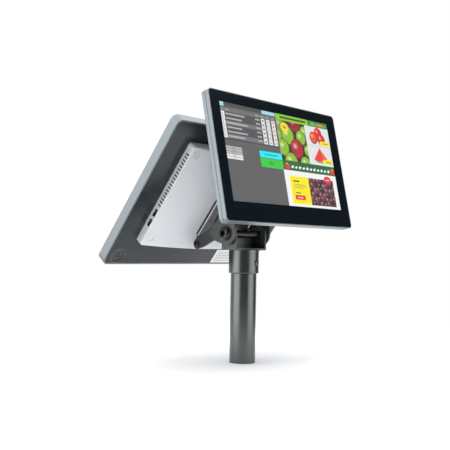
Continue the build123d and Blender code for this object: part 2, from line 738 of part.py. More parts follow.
def customer_board():
    return on_customer(slab(150, 70, -17.0, -15.4, 0, CUSTOMER_V, 2) + slab(18, 18, -18.2, -16.9, 20, 0))


GLASS_INSET = RIM + 0.15
PARTS["customer_rear_shell"] = [customer_rear_shell()]
PARTS["customer_socket"] = [customer_socket()]
PARTS["customer_bezel"] = [customer_bezel()]
PARTS["customer_glass"] = [
    on_customer(
        slab(CUSTOMER_W - 2 * GLASS_INSET, CUSTOMER_H - 2 * GLASS_INSET, -1.8, 0, 0, CUSTOMER_V, 4.6)
    )
]
PARTS["customer_lcd_cell"] = [on_customer(slab(268, 157, -3.4, -2.0))]
PARTS["customer_backlight"] = [on_customer(slab(268, 157, -6.8, -3.5))]
PARTS["customer_board"] = [customer_board()]


# ---------------------------------------------------------------- write one STEP per piece
os.makedirs("parts", exist_ok=True)
for name, solids in PARTS.items():
    shape = solids[0] if len(solids) == 1 else Compound(children=list(solids))
    shape.label = name
    export_step(shape, f"parts/{name}.step")
    print(name, len(shape.solids()), round(shape.volume))
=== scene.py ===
from math import cos, pi, radians, sin

import bmesh
import bpy
from mathutils import Matrix, Vector


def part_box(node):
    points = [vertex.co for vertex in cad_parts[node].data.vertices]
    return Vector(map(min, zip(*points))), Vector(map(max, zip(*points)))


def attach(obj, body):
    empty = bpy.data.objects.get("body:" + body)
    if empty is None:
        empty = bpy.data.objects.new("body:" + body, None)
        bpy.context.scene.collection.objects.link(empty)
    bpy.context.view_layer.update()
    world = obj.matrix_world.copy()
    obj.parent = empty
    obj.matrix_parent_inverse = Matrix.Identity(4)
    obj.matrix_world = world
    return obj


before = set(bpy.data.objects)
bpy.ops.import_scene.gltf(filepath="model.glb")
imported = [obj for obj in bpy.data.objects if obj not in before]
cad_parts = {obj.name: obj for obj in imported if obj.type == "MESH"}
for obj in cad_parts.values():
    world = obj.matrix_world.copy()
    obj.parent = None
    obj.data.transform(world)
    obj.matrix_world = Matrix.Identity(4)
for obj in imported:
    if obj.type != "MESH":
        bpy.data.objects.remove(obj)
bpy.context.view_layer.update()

# ------------------------------------------------------------------ camera
# A long lens a little over a metre away, low down on the customer's left, looking past the
# customer display at the back of the terminal. It is turned one degree about its own axis.
EYE = Vector((-0.9058, -0.8005, 0.1730))
HEADING, PITCH, ROLL = radians(-47.10), radians(1.81), radians(1.04)
SENSOR_WIDTH, FOCAL_LENGTH = 36.0, 62.39
lens = bpy.data.cameras.new("shop_view")
lens.sensor_width = SENSOR_WIDTH
lens.lens = FOCAL_LENGTH
camera = bpy.data.objects.new("shop_view", lens)
bpy.context.scene.collection.objects.link(camera)
camera.matrix_world = (
    Matrix.Translation(EYE)
    @ Matrix.Rotation(HEADING, 4, "Z")
    @ Matrix.Rotation(pi / 2 + PITCH, 4, "X")
    @ Matrix.Rotation(ROLL, 4, "Z")
)
bpy.context.scene.camera = camera
bpy.context.scene.view_settings.view_transform = "Standard"


# ------------------------------------------------------------------ floor and studio light
# A pale seamless floor that fades out at its edge, and a soft white studio: lit walls at both
# sides, a lit ceiling and a low light in front. The dim gaps between them give round parts two
# tall highlights and a dark middle.
def new_material(name):
    material = bpy.data.materials.new(name)
    material.use_nodes = True
    tree = material.node_tree
    tree.nodes.clear()
    return material, tree, tree.nodes.new("ShaderNodeOutputMaterial")


def add_node(tree, kind, **values):
    """A new node. Each value goes to the socket of that name, or else to the node's setting."""
    made = tree.nodes.new(kind)
    for key, value in values.items():
        socket = key.replace("_", " ").title().replace("Ior", "IOR")
        if socket in made.inputs:
            made.inputs[socket].default_value = value
        else:
            setattr(made, key, value)
    return made


def mesh_object(name, vertices, faces, material=None):
    data = bpy.data.meshes.new(name)
    data.from_pydata([tuple(v) for v in vertices], [], faces)
    data.update()
    made = bpy.data.objects.new(name, data)
    bpy.context.scene.collection.objects.link(made)
    if material:
        data.materials.append(material)
    return made


FLOOR_REACH = 6.0
FLOOR_FADE_START, FLOOR_FADE_END = 0.26, 0.85
FLOOR_COLOUR = (0.86, 0.86, 0.86, 1)
floor_corners = [(x, y, 0) for x, y in ((-1, -1), (1, -1), (1, 1), (-1, 1))]
floor = mesh_object("floor", [Vector(c) * FLOOR_REACH for c in floor_corners], [(0, 1, 2, 3)])
floor_paint, tree, output = new_material("floor_paint")
place = tree.nodes.new("ShaderNodeTexCoord")
away = add_node(tree, "ShaderNodeVectorMath", operation="LENGTH")
fade = add_node(
    tree,
    "ShaderNodeMapRange",
    interpolation_type="SMOOTHSTEP",
    from_min=FLOOR_FADE_START,
    from_max=FLOOR_FADE_END,
)
paint = add_node(tree, "ShaderNodeBsdfDiffuse", color=FLOOR_COLOUR)
clear = tree.nodes.new("ShaderNodeBsdfTransparent")
mix = tree.nodes.new("ShaderNodeMixShader")
tree.links.new(place.outputs["Object"], away.inputs[0])
tree.links.new(away.outputs["Value"], fade.inputs["Value"])
tree.links.new(fade.outputs["Result"], mix.inputs["Fac"])
tree.links.new(paint.outputs[0], mix.inputs[1])
tree.links.new(clear.outputs[0], mix.inputs[2])
tree.links.new(mix.outputs[0], output.inputs["Surface"])
floor.data.materials.append(floor_paint)

# Each light wall: the direction it stands in, where it starts and ends to fade (degrees off that
# direction), and its strength.
LIGHT_WALLS = [
    ((-0.93, 0.37, 0.05), 14, 40, 2.4),
    ((-0.70, 0.70, 0.10), 25, 60, 0.7),
    ((0.40, -0.91, -0.10), 12, 36, 2.4),
    ((0.0, 0.1, 1.0), 25, 70, 2.3),
    ((0.70, 0.70, 0.10), 20, 60, 0.9),
    ((-0.30, -0.50, -0.80), 15, 48, 1.7),
]
STUDIO_DIM = 0.06
STUDIO_COLOUR = (0.98, 0.99, 1.0, 1)
BACKDROP_COLOUR = (1, 1, 1, 1)
world = bpy.data.worlds.new("studio")
bpy.context.scene.world = world
world.use_nodes = True
tree = world.node_tree
tree.nodes.clear()
output = tree.nodes.new("ShaderNodeOutputWorld")
direction = tree.nodes.new("ShaderNodeTexCoord")
total = None
for toward, inner, outer, strength in LIGHT_WALLS:
    facing = add_node(tree, "ShaderNodeVectorMath", operation="DOT_PRODUCT")
    facing.inputs[1].default_value = Vector(toward).normalized()
    lobe = add_node(
        tree,
        "ShaderNodeMapRange",
        interpolation_type="SMOOTHSTEP",
        from_min=cos(radians(outer)),
        from_max=cos(radians(inner)),
        to_max=strength,
    )
    tree.links.new(direction.outputs["Generated"], facing.inputs[0])
    tree.links.new(facing.outputs["Value"], lobe.inputs["Value"])
    joined = add_node(tree, "ShaderNodeMath", operation="ADD")
    joined.inputs[1].default_value = STUDIO_DIM
    tree.links.new(lobe.outputs["Result"], joined.inputs[0])
    if total:
        tree.links.new(total, joined.inputs[1])
    total = joined.outputs["Value"]
seen = tree.nodes.new("ShaderNodeLightPath")
lit = add_node(tree, "ShaderNodeBackground", color=STUDIO_COLOUR)
backdrop = add_node(tree, "ShaderNodeBackground", color=BACKDROP_COLOUR)
choose = tree.nodes.new("ShaderNodeMixShader")
tree.links.new(total, lit.inputs["Strength"])
tree.links.new(seen.outputs["Is Camera Ray"], choose.inputs["Fac"])
tree.links.new(lit.outputs[0], choose.inputs[1])
tree.links.new(backdrop.outputs[0], choose.inputs[2])
tree.links.new(choose.outputs[0], output.inputs["Surface"])

# ------------------------------------------------------------------ pole and collar
# A 40 mm steel tube with a sleeve that turns on its neck. Both have a dark satin coat with a very
# fine orange peel, and their turned edges are slightly rounded.
CLOUD_SCALE, CLOUD_LOW, CLOUD_HIGH = 28.0, 0.3, 0.7
ROUGHNESS_SPREAD, ROUGHNESS_LEAST = 0.04, 0.02


def grained(name, colour, roughness, grain=0.0006, depth=0.00002, mottle=0.06, edge=0.0, **shader):
    """A finish with cloudy colour and roughness and a fine bump. grain and depth are the bump's
    size and height in metres, mottle is how far the colour strays, and edge softens edges."""
    material, tree, output = new_material(name)
    place = tree.nodes.new("ShaderNodeTexCoord")
    surface = add_node(tree, "ShaderNodeBsdfPrincipled", **shader)
    clouds = add_node(tree, "ShaderNodeTexNoise", scale=CLOUD_SCALE, detail=3.0)
    tint = tree.nodes.new("ShaderNodeMixRGB")
    tint.inputs["Color1"].default_value = (*[c * (1 - mottle) for c in colour], 1)
    tint.inputs["Color2"].default_value = (*[min(1, c * (1 + mottle)) for c in colour], 1)
    rough = add_node(
        tree,
        "ShaderNodeMapRange",
        from_min=CLOUD_LOW,
        from_max=CLOUD_HIGH,
        to_min=max(ROUGHNESS_LEAST, roughness - ROUGHNESS_SPREAD),
        to_max=roughness + ROUGHNESS_SPREAD,
    )
    peel = add_node(tree, "ShaderNodeTexNoise", scale=1 / grain, detail=2.0)
    bump = add_node(tree, "ShaderNodeBump", strength=1.0, distance=depth)
    for pattern in (clouds, peel):
        tree.links.new(place.outputs["Object"], pattern.inputs["Vector"])
    tree.links.new(clouds.outputs["Fac"], tint.inputs["Fac"])
    tree.links.new(tint.outputs["Color"], surface.inputs["Base Color"])
    tree.links.new(clouds.outputs["Fac"], rough.inputs["Value"])
    tree.links.new(rough.outputs["Result"], surface.inputs["Roughness"])
    tree.links.new(peel.outputs["Fac"], bump.inputs["Height"])
    if edge:
        round_edge = add_node(tree, "ShaderNodeBevel", samples=4, radius=edge)
        tree.links.new(round_edge.outputs["Normal"], bump.inputs["Normal"])
    tree.links.new(bump.outputs["Normal"], surface.inputs["Normal"])
    tree.links.new(surface.outputs["BSDF"], output.inputs["Surface"])
    return material


def coat_nodes(material, *names):
    """Gives a material to nodes that keep the shape they come with."""
    for name in names:
        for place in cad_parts[name].material_slots:
            place.material = material


pole_coat = grained(
    "pole_coat", (0.115, 0.121, 0.121), 0.24, depth=0.000008, edge=0.0004, metallic=0.85
)
coat_nodes(pole_coat, "pole_tube", "collar")

# ------------------------------------------------------------------ clamp screws
# Two plated button-head screws in the collar's side, tightened on the pole's neck. The plating
# is a dull bronze.
bronze = grained(
    "bronze_plate", (0.17, 0.125, 0.10), 0.36, grain=0.0004, depth=0.00001, mottle=0.12, metallic=0.7
)
coat_nodes(bronze, "clamp_screws")

# ------------------------------------------------------------------ yoke and its welds
# A folded steel U that stands on the collar and carries the hinge bolt. It is welded to the
# collar along its front and back edges and then coated with a grey-black powder.
powder_coat = grained(
    "powder_coat", (0.085, 0.089, 0.086), 0.38, grain=0.0007, mottle=0.08, edge=0.0005, metallic=0.35
)
coat_nodes(powder_coat, "yoke")


def on_body(piece, place, body):
    """Moves a finished piece's mesh to its place and fixes the piece to its body."""
    piece.data.transform(place)
    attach(piece, body)
    return piece


def row_tree(name, shape):
    """Nodes for a row of like solids along a line. shape adds the nodes that make one of them."""
    tree = bpy.data.node_groups.new(name, "GeometryNodeTree")
    tree.interface.new_socket("Geometry", in_out="OUTPUT", socket_type="NodeSocketGeometry")
    tree.interface.new_socket("Count", in_out="INPUT", socket_type="NodeSocketInt")
    for size in ("Start", "Step", "Size"):
        tree.interface.new_socket(size, in_out="INPUT", socket_type="NodeSocketVector")
    tree.interface.new_socket("Finish", in_out="INPUT", socket_type="NodeSocketMaterial")
    given, result = tree.nodes.new("NodeGroupInput"), tree.nodes.new("NodeGroupOutput")
    line = tree.nodes.new("GeometryNodeMeshLine")
    spread = tree.nodes.new("GeometryNodeInstanceOnPoints")
    real = tree.nodes.new("GeometryNodeRealizeInstances")
    paint = tree.nodes.new("GeometryNodeSetMaterial")
    tree.links.new(given.outputs["Count"], line.inputs["Count"])
    tree.links.new(given.outputs["Start"], line.inputs["Start Location"])
    tree.links.new(given.outputs["Step"], line.inputs["Offset"])
    tree.links.new(line.outputs["Mesh"], spread.inputs["Points"])
    tree.links.new(shape(tree), spread.inputs["Instance"])
    tree.links.new(given.outputs["Size"], spread.inputs["Scale"])
    tree.links.new(spread.outputs["Instances"], real.inputs["Geometry"])
    tree.links.new(real.outputs["Geometry"], paint.inputs["Geometry"])
    tree.links.new(given.outputs["Finish"], paint.inputs["Material"])
    tree.links.new(paint.outputs["Geometry"], result.inputs["Geometry"])
    return tree


def made_row(name, tree, **given):
    """Runs the nodes with the given inputs and keeps what they make as a plain mesh."""
    carrier = mesh_object(name, [], [])
    run = carrier.modifiers.new(name, "NODES")
    run.node_group = tree
    for item in tree.interface.items_tree:
        if item.in_out == "INPUT":
            run[item.identifier] = given[item.name]
    ready = bpy.context.evaluated_depsgraph_get()
    mesh = bpy.data.meshes.new_from_object(carrier.evaluated_get(ready), depsgraph=ready)
    carrier.modifiers.remove(run)
    carrier.data = mesh
    return carrier


def one_bead(tree):
    """A ball 1 across, which its row squashes to a bead."""
    bead = add_node(tree, "GeometryNodeMeshUVSphere", segments=12, rings=8, radius=0.5)
    return bead.outputs["Mesh"]


# Each weld is a row of overlapping beads on the collar's top.
BEAD = (0.0026, 0.0030, 0.0024)
BEAD_PITCH = 0.0013
BEAD_COUNT = 26
WELD_LENGTH = BEAD_PITCH * (BEAD_COUNT - 1)
bead_row = row_tree("bead_row", one_bead)
yoke_low, yoke_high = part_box("yoke")
for name, edge in (("weld_front", yoke_low.y), ("weld_back", yoke_high.y)):
    weld = made_row(
        name,
        bead_row,
        Count=BEAD_COUNT,
        Start=(-WELD_LENGTH / 2, edge, yoke_low.z),
        Step=(BEAD_PITCH, 0, 0),
        Size=BEAD,
        Finish=powder_coat,
    )
    on_body(weld, Matrix(), "head")

# ------------------------------------------------------------------ hinge bolt, nut and washers
# A black M12 button-head bolt through yoke, arms and gussets, with a black nut and nylon washers
# that give the tilt its drag.
black_oxide = grained(
    "black_oxide", (0.006, 0.006, 0.007), 0.15, grain=0.0003, depth=0.000004, mottle=0.1, edge=0.0003
)
nylon = grained("black_nylon", (0.03, 0.03, 0.03), 0.5, grain=0.0005, depth=0.00001)
coat_nodes(black_oxide, "hinge_bolt", "hinge_nut")
coat_nodes(nylon, "friction_washers")

# ------------------------------------------------------------------ arms and their bolts
# Two flat steel arms inside the gussets, joined by a welded round bar, with a duller paint than
# the yoke. The terminal turns on their small black bolts, which have zinc-plated nuts.
arm_paint = grained(
    "arm_paint", (0.028, 0.025, 0.030), 0.40, grain=0.0008, depth=0.00003, mottle=0.1, edge=0.0004
)
zinc = grained(
    "zinc_plate", (0.62, 0.62, 0.60), 0.32, grain=0.0004, depth=0.00001, mottle=0.1, metallic=1.0
)
coat_nodes(arm_paint, "arm_left", "arm_right", "arm_cross_bar")
coat_nodes(black_oxide, "pivot_bolts")
coat_nodes(zinc, "pivot_nuts")

# ------------------------------------------------------------------ terminal channel
# A folded steel channel bolted to the housing through a rubber pad. Its two flanges hang between
# the arms.
rubber = grained("pad_rubber", (0.012, 0.012, 0.012), 0.75, depth=0.00003)
channel_coat = grained(
    "channel_coat",
    (0.15, 0.16, 0.16),
    0.30,
    grain=0.0007,
    depth=0.00001,
    mottle=0.05,
    edge=0.0005,
    metallic=0.7,
)
coat_nodes(channel_coat, "main_channel")
coat_nodes(rubber, "channel_pad")
coat_nodes(black_oxide, "channel_screws")

# ------------------------------------------------------------------ rear housing
# A white moulded shell with a gently crowned back, vents down both sides and four round caps over
# its screws. The mould gives it a fine even grain.
white_plastic = grained(
    "white_plastic", (0.80, 0.825, 0.855), 0.40, grain=0.0005, depth=0.000012, mottle=0.015
)
coat_nodes(white_plastic, "rear_housing", "screw_caps")


def turned_frame(node, turn):
    """A tilted flat node's own place: its middle, X across it, Y up it and Z out of it."""
    low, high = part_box(node)
    return Matrix.Translation((low + high) / 2) @ Matrix.Rotation(radians(turn), 4, "X")


def one_block(tree):
    """A cube 1 across, which its row stretches to a block."""
    return tree.nodes.new("GeometryNodeMeshCube").outputs["Mesh"]


# A black comb is set behind each row of vents as painted shade: one tooth stands in every slot, a
# little under the housing's face, and darkens it where the slot's own shade falls. The comb's places
# are measured from the middle of the back cover.
MAIN_LEAN = 38.8
MAIN_TURN = 90 + MAIN_LEAN
COMB_TEETH = 18
COMB_PITCH = 0.00536
COMB_FROM_MIDDLE = 0.12995
COMB_FIRST = -0.0098
COMB_LEVEL = 0.00895
TOOTH = (0.0016, 0.0022, 0.0069)
block_row = row_tree("block_row", one_block)
# Near-black teeth: painted shade inside the vent slots.
vent_shade_black = grained(
    "vent_shade_black", (0.006, 0.006, 0.006), 0.7, grain=0.0005, depth=0.00002, mottle=0.2
)
cover_place = turned_frame("back_cover", MAIN_TURN)
for side, hand in ((-1, "left"), (1, "right")):
    comb = made_row(
        "vent_shade_comb_" + hand,
        block_row,
        Count=COMB_TEETH,
        Start=(side * COMB_FROM_MIDDLE, COMB_FIRST, COMB_LEVEL),
        Step=(0, COMB_PITCH, 0),
        Size=TOOTH,
        Finish=vent_shade_black,
    )
    on_body(comb, cover_place, "terminal")

# ------------------------------------------------------------------ pad lip and bend highlights
# The pad has a soft black lip that stands out past both sides of the channel; it is partly painted
# shade, drawing the dark shadow line along the channel's edge. A thin near-white strip over each of
# the channel's bends above it is a painted highlight.
COVER_FACE = 0.00125
PAD_TOP = 0.0208
CHANNEL_HALF = 0.0355
CHANNEL_ENDS = (-0.0505, 0.0361)
BEND = 0.0022
BEND_CENTRE = CHANNEL_HALF - BEND
BEND_LEVEL = PAD_TOP + COVER_FACE + BEND
HIGHLIGHT_GAP = 0.00005
HIGHLIGHT_SHEET = 0.0003
HIGHLIGHT_RISE = 0.0014
WRAP_DEGREES, WRAP_STEP = 50, 10

# The lip's outline: out from the channel's middle line, and up from the centre of its bend. Its
# black is partly a painted shadow line.
SHADE_LIP = [
    (0.0334, -0.0032),
    (0.0364, -0.0034),
    (0.0375, -0.0026),
    (0.0375, -0.0016),
    (0.0364, -0.0010),
    (0.0352, -0.0018),
    (0.0334, -0.0023),
]


def drawn_strip(name, profile, ends, material):
    """A closed strip: a profile in (X, Z) drawn out along Y between two ends."""
    count = len(profile)
    points = [(x, y, z) for y in ends for x, z in profile]
    faces = [tuple(range(count)), tuple(range(2 * count - 1, count - 1, -1))]
    faces += [(i, i + count, (i + 1) % count + count, (i + 1) % count) for i in range(count)]
    strip = mesh_object(name, points, faces, material)
    shape = bmesh.new()
    shape.from_mesh(strip.data)
    bmesh.ops.recalc_face_normals(shape, faces=shape.faces)
    shape.to_mesh(strip.data)
    shape.free()
    return strip


def bend_arc(radius, angles):
    """Points round the channel's bend, from its side towards the pad."""
    return [(BEND_CENTRE + radius * cos(a), -radius * sin(a)) for a in angles]


# Near-white: a painted highlight along each of the channel's bends.
bend_highlight_white = grained(
    "bend_highlight_white", (0.90, 0.90, 0.90), 0.3, grain=0.0004, depth=0.000004, mottle=0.02
)
wrap = [radians(step) for step in range(0, WRAP_DEGREES + 1, WRAP_STEP)]
highlight_outline = bend_arc(BEND + HIGHLIGHT_GAP, wrap) + bend_arc(BEND + HIGHLIGHT_SHEET, wrap[::-1])
highlight_outline += [(CHANNEL_HALF + HIGHLIGHT_SHEET, HIGHLIGHT_RISE), (CHANNEL_HALF + HIGHLIGHT_GAP, HIGHLIGHT_RISE)]
for side, hand in ((-1, "left"), (1, "right")):
    for name, outline, finish, slot in (
        ("pad_lip_shade_", SHADE_LIP, rubber, "rubber_pad"),
        ("bend_highlight_strip_", highlight_outline, bend_highlight_white, "powder_coat"),
    ):
        profile = [(side * x, BEND_LEVEL + z) for x, z in outline]
        strip = drawn_strip(name + hand, profile, CHANNEL_ENDS, finish)
        on_body(strip, cover_place, "terminal")

# ------------------------------------------------------------------ back cover, plugs and band
# A dark glossy moulded cover behind the terminal, with a round rubber plug near each lower corner.
# A silver-painted plastic band runs round its edge and holds the touch glass.
gloss_cover = grained(
    "gloss_cover",
    (0.030, 0.035, 0.041),
    0.16,
    grain=0.004,
    depth=0.000004,
    mottle=0.05,
    specular_ior_level=0.4,
)
plug_rubber = grained(
    "plug_rubber", (0.030, 0.032, 0.036), 0.42, depth=0.00001, mottle=0.08, edge=0.0008
)
silver_paint = grained(
    "silver_paint",
    (0.21, 0.24, 0.255),
    0.32,
    grain=0.0004,
    depth=0.000006,
    mottle=0.03,
    edge=0.0006,
    metallic=0.45,
)
coat_nodes(gloss_cover, "back_cover")
coat_nodes(plug_rubber, "corner_plugs")
coat_nodes(silver_paint, "bezel_band")


def one_ring(tree):
    """A ring of radius 1, of wire whose radius is a thirtieth of that."""
    wire_radius = 1 / 30
    path = add_node(tree, "GeometryNodeCurvePrimitiveCircle", resolution=48, radius=1.0)
    wire = add_node(tree, "GeometryNodeCurvePrimitiveCircle", resolution=8, radius=wire_radius)
    sweep = tree.nodes.new("GeometryNodeCurveToMesh")
    tree.links.new(path.outputs["Curve"], sweep.inputs["Curve"])
    tree.links.new(wire.outputs["Curve"], sweep.inputs["Profile Curve"])
    return sweep.outputs["Mesh"]


# Each plug has a thin raised ring round its pocket and one round its middle, which lies a little
# deeper. The rings catch real highlights, and their light grey is also a painted highlight.
PLUG_X, PLUG_Y = 0.1494, -0.113
OUTER_RING, INNER_RING = 0.0129, 0.0062
RING_SINK = 0.0003
ring_row = row_tree("ring_row", one_ring)
# Light grey: partly a painted highlight on the plugs' raised rings.
ring_highlight_grey = grained("ring_highlight_grey", (0.19, 0.20, 0.215), 0.3, depth=0.000006, mottle=0.05)
for name, radius, level in (
    ("plug_ring_outer", OUTER_RING, COVER_FACE),
    ("plug_ring_inner", INNER_RING, COVER_FACE - RING_SINK),
):
    rings = made_row(
        name,
        ring_row,
        Count=2,
        Start=(-PLUG_X, PLUG_Y, level),
        Step=(2 * PLUG_X, 0, 0),
        Size=(radius, radius, radius),
        Finish=ring_highlight_grey,
    )
    on_body(rings, cover_place, "terminal")

# ------------------------------------------------------------------ ports, label and button
# Steel sockets in the housing's side and lower wall with cream plastic tongues, a film label stuck
# on the cover, and a black plastic power button.
steel = grained(
    "socket_steel", (0.55, 0.55, 0.55), 0.28, grain=0.0004, depth=0.000006, mottle=0.08, metallic=1.0
)
tongue_plastic = grained("tongue_plastic", (0.90, 0.78, 0.66), 0.45, grain=0.0004, depth=0.000006)
black_plastic = grained("black_plastic", (0.018, 0.018, 0.020), 0.42, grain=0.0005, depth=0.00001)
label_film = grained(
    "label_film", (0.80, 0.80, 0.79), 0.35, grain=0.0009, depth=0.000003, mottle=0.02
)
coat_nodes(steel, "side_ports", "bottom_ports")
coat_nodes(tongue_plastic, "port_tongues")
coat_nodes(black_plastic, "power_button")
coat_nodes(label_film, "rating_label")

# The label is left blank but for its printed rules.
RULE = (0.046, 0.0009, 0.00006)
RULE_COUNT, RULE_PITCH = 6, 0.0037
RULE_FIRST = (-0.0085, -0.0095, RULE[2])
rule_ink = grained(
    "rule_ink", (0.20, 0.20, 0.21), 0.5, grain=0.0009, depth=0.000002, mottle=0.05
)
rules = made_row(
    "label_rules",
    block_row,
    Count=RULE_COUNT,
    Start=RULE_FIRST,
    Step=(0, RULE_PITCH, 0),
    Size=RULE,
    Finish=rule_ink,
)
on_body(rules, turned_frame("rating_label", MAIN_TURN), "terminal")

# ------------------------------------------------------------------ inside the terminal
# The panel and its backlight, the galvanised chassis, and the green boards with a heat sink, a
# drive and two speakers, all fixed to the chassis. Little of it shows, through the vents.
solder_mask = grained("solder_mask", (0.02, 0.13, 0.06), 0.35, grain=0.0012, mottle=0.25)
galvanised = grained(
    "galvanised", (0.45, 0.46, 0.46), 0.38, grain=0.003, depth=0.00001, mottle=0.15, metallic=1.0
)
alloy = grained("heat_sink_alloy", (0.62, 0.63, 0.64), 0.3, depth=0.00001, mottle=0.05, metallic=1.0)
panel_film = grained("panel_film", (0.006, 0.006, 0.008), 0.3, depth=0.000002)
coat_nodes(solder_mask, "main_board", "memory_module", "touch_controller", "usb_board")
coat_nodes(solder_mask, "power_switch", "customer_board")
coat_nodes(galvanised, "chassis_plate")
coat_nodes(alloy, "heat_sink")
coat_nodes(panel_film, "lcd_cell", "customer_lcd_cell")
coat_nodes(black_plastic, "backlight_unit", "customer_backlight", "solid_state_drive", "speakers")

# ------------------------------------------------------------------ customer bracket
# Two powder-coated steel side plates that hang on the hinge bolt, with a cross plate between them,
# and the square plate that the display is screwed to.
bracket_coat = grained(
    "bracket_coat", (0.074, 0.078, 0.076), 0.36, grain=0.0007, mottle=0.08, edge=0.0005, metallic=0.35
)
coat_nodes(bracket_coat, "gusset_left", "gusset_right", "bracket_web", "display_plate")
coat_nodes(black_oxide, "plate_screws")

# ------------------------------------------------------------------ customer display shells
# A moulded rear shell and front band, both painted silver like the terminal's band. They meet in
# a fine seam, and the shell has one small black socket.
coat_nodes(silver_paint, "customer_rear_shell", "customer_bezel")
coat_nodes(black_plastic, "customer_socket")

# ------------------------------------------------------------------ screen glasses
# Each screen is covered by one flat sheet of glass, printed black behind its border and clear
# over the picture. The print shows glossy through the glass.
CUSTOMER_LEAN = 12.35
CUSTOMER_TURN = 90 - CUSTOMER_LEAN
MM = 0.001
CUSTOMER_PICTURE = (256.1, 144.0)
MAIN_PICTURE = (304.1, 228.1)
PRINT_BLACK = (0.0025, 0.0065, 0.0105, 1)
GLASS_ROUGHNESS = 0.05
MIRROR_SHARE = 0.03
customer_screen = turned_frame("customer_lcd_cell", CUSTOMER_TURN)
main_screen = turned_frame("lcd_cell", MAIN_TURN)


def screen_glass(name, screen, turn, picture):
    """Clear, with a faint mirror, over the picture of that size in millimetres, else black."""
    material, tree, output = new_material(name)
    place = tree.nodes.new("ShaderNodeTexCoord")
    local = add_node(tree, "ShaderNodeMapping", vector_type="TEXTURE")
    local.inputs["Location"].default_value = screen.translation
    local.inputs["Rotation"].default_value = (radians(turn), 0, 0)
    split = tree.nodes.new("ShaderNodeSeparateXYZ")
    tree.links.new(place.outputs["Object"], local.inputs["Vector"])
    tree.links.new(local.outputs["Vector"], split.inputs["Vector"])
    both = add_node(tree, "ShaderNodeMath", operation="MULTIPLY")
    for number, (axis, size) in enumerate(zip("XY", picture)):
        from_middle = add_node(tree, "ShaderNodeMath", operation="ABSOLUTE")
        within = add_node(tree, "ShaderNodeMath", operation="LESS_THAN")
        within.inputs[1].default_value = size * MM / 2
        tree.links.new(split.outputs[axis], from_middle.inputs[0])
        tree.links.new(from_middle.outputs[0], within.inputs[0])
        tree.links.new(within.outputs[0], both.inputs[number])
    printed = add_node(
        tree, "ShaderNodeBsdfPrincipled", base_color=PRINT_BLACK, roughness=GLASS_ROUGHNESS
    )
    through = tree.nodes.new("ShaderNodeBsdfTransparent")
    mirror = add_node(tree, "ShaderNodeBsdfGlossy", roughness=GLASS_ROUGHNESS)
    window = add_node(tree, "ShaderNodeMixShader", fac=MIRROR_SHARE)
    tree.links.new(through.outputs[0], window.inputs[1])
    tree.links.new(mirror.outputs[0], window.inputs[2])
    whole = tree.nodes.new("ShaderNodeMixShader")
    tree.links.new(both.outputs[0], whole.inputs["Fac"])
    tree.links.new(printed.outputs[0], whole.inputs[1])
    tree.links.new(window.outputs[0], whole.inputs[2])
    tree.links.new(whole.outputs[0], output.inputs["Surface"])
    return material


customer_cover_glass = screen_glass(
    "customer_cover_glass", customer_screen, CUSTOMER_TURN, CUSTOMER_PICTURE
)
touch_cover_glass = screen_glass("touch_cover_glass", main_screen, MAIN_TURN, MAIN_PICTURE)
coat_nodes(customer_cover_glass, "customer_glass")
coat_nodes(touch_cover_glass, "touch_glass")

# ------------------------------------------------------------------ customer picture
# What the lit panel shows: a till's basket on the left and a shop's offers on the right, without
# any lettering. Each shape is a very thin tile on the panel, under the glass.
LAYER = 0.000018
CUSTOMER_PANEL_HALF = 0.0007


